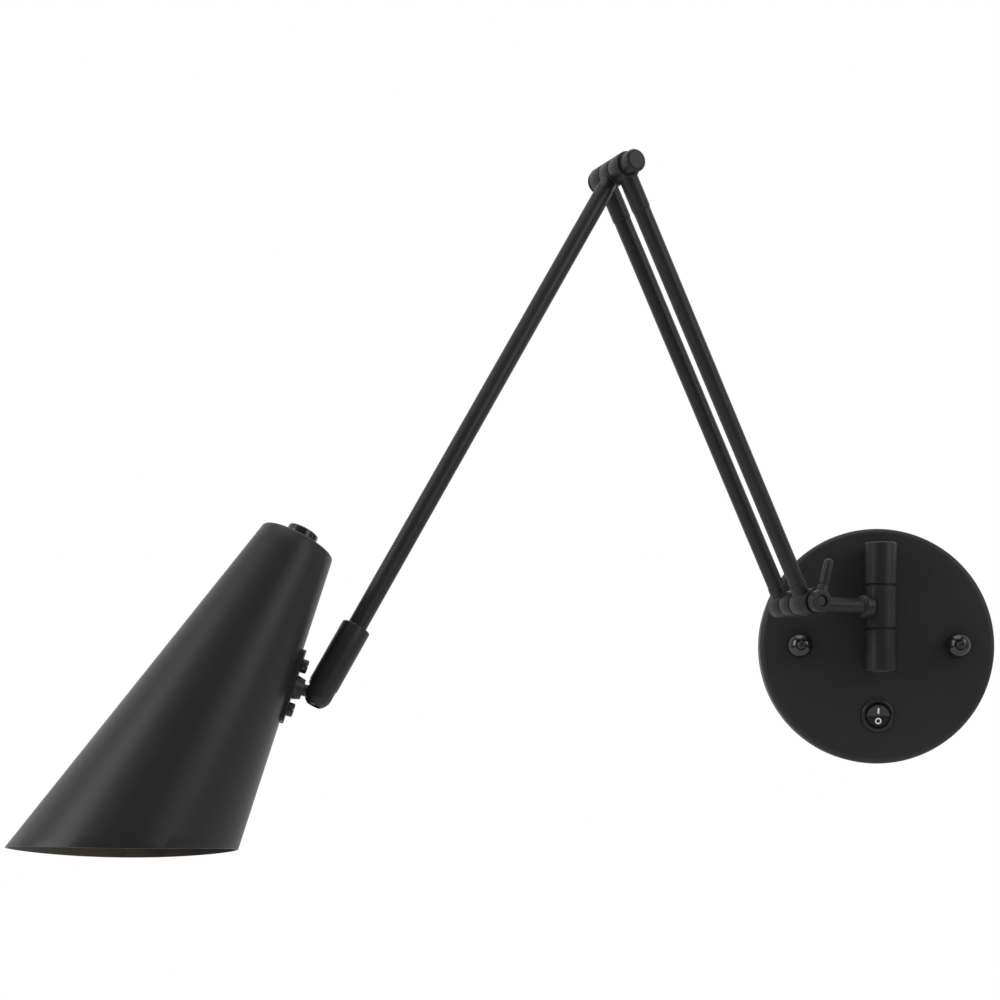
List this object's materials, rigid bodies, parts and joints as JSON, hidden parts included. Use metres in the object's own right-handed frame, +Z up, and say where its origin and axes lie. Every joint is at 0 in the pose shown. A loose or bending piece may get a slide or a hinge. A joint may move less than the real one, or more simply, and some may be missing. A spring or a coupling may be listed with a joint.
{
  "type": "accordion wall lamp",
  "caption": "Wall lamp with a round canopy, rocker switch, upright swivel, folding fork and upper rod, clamp lever, and a slant-cut cone shade on a ball joint.",
  "frame": {"origin": "middle of the mounting bar's back, on the wall plane behind the middle of the canopy", "axes": "+Y into the wall, +Z up, +X to the right of someone facing the wall; the lamp stands out along -Y"},
  "size_m": [0.4254, 0.2396, 0.3115],
  "materials": {
    "black_paint": "fine satin black powder coat",
    "black_screws": "blackened steel",
    "zinc_steel": "zinc-plated steel",
    "washers": "black nylon",
    "switch_plastic": "semi-gloss black",
    "brass": "plain",
    "holder_plastic": "black moulded"
  },
  "bodies": {
    "base": {"wall_plate": "black_paint", "mounting_bar": "zinc_steel", "mounting_stud_left": "zinc_steel", "mounting_stud_right": "zinc_steel", "ball_nut_left": "black_paint", "ball_nut_right": "black_paint", "switch_housing": "switch_plastic", "switch_terminals": "brass", "swivel_knuckle_top": "black_paint", "swivel_knuckle_bottom": "black_paint", "post_screw_top": "zinc_steel", "post_screw_bottom": "zinc_steel", "swivel_pin": "zinc_steel", "swivel_washer_top": "washers", "swivel_washer_bottom": "washers"},
    "switch_key": {"switch_rocker": "switch_plastic"},
    "swivel_arm": {"swivel_sleeve": "black_paint", "side_bar": "black_paint", "lower_hub": "black_paint"},
    "fork": {"lower_knuckle_near": "black_paint", "lower_knuckle_far": "black_paint", "lower_washer_near": "washers", "lower_washer_far": "washers", "fork_rod_near": "black_paint", "fork_rod_far": "black_paint", "elbow_knuckle_near": "black_paint", "elbow_knuckle_far": "black_paint", "elbow_washer_near": "washers", "elbow_washer_far": "washers", "lower_pivot_bolt": "black_screws", "clamp_collar": "black_paint", "elbow_bolt": "black_screws", "elbow_cap": "black_paint"},
    "clamp_lever": {"lever_hub": "black_paint", "lever_handle": "black_paint"},
    "upper_arm": {"elbow_hub": "black_paint", "upper_rod": "black_paint"},
    "turning_end": {"head_sleeve": "black_paint", "ball_cap": "black_paint"},
    "stud": {"ball_stud": "zinc_steel"},
    "head": {"shade": "black_paint", "shade_bracket": "black_paint", "bracket_screw_top": "black_screws", "bracket_screw_bottom": "black_screws", "bracket_nut_top": "zinc_steel", "bracket_nut_bottom": "zinc_steel", "cap_nut": "black_paint", "nipple": "zinc_steel", "lock_nut": "zinc_steel", "holder_shell": "holder_plastic", "holder_insert": "holder_plastic", "holder_contact": "brass"}
  },
  "joints": [
    {"name": "swivel", "type": "hinge", "parent": "base", "child": "swivel_arm", "pos_m": [0, -0.0245, 0.019], "axis": [0, 0, 1], "range_deg": [-20, 120]},
    {"name": "lower_pivot", "type": "hinge", "parent": "swivel_arm", "child": "fork", "pos_m": [-0.04581, -0.05095, 0.019], "axis": [0.5, -0.866, 0], "range_deg": [-40, 70]},
    {"name": "clamp_lever_turn", "type": "hinge", "parent": "fork", "child": "clamp_lever", "pos_m": [-0.03531, -0.06914, 0.019], "axis": [0.5, -0.866, 0], "range_deg": [-60, 60]},
    {"name": "elbow", "type": "hinge", "parent": "fork", "child": "upper_arm", "pos_m": [-0.13214, -0.10079, 0.2113], "axis": [-0.5, 0.866, 0], "range_deg": [-38, 110]},
    {"name": "head_turn", "type": "hinge", "parent": "upper_arm", "child": "turning_end", "pos_m": [-0.2522, -0.17011, -0.02643], "axis": [-0.4363, -0.2519, -0.8638], "range_deg": [-45, 45]},
    {"name": "head_tilt", "type": "hinge", "parent": "turning_end", "child": "stud", "pos_m": [-0.2522, -0.17011, -0.02643], "axis": [0.2879, -0.9486, 0.1312], "range_deg": [-10, 60]},
    {"name": "head_roll", "type": "hinge", "parent": "stud", "child": "head", "pos_m": [-0.2522, -0.17011, -0.02643], "axis": [-0.9222, -0.2376, 0.3052], "range_deg": [-45, 45]},
    {"name": "switch_rock", "type": "hinge", "parent": "base", "child": "switch_key", "pos_m": [0, -0.01457, -0.0353], "axis": [-1, 0, 0], "range_deg": [0, 18]}
  ]
}
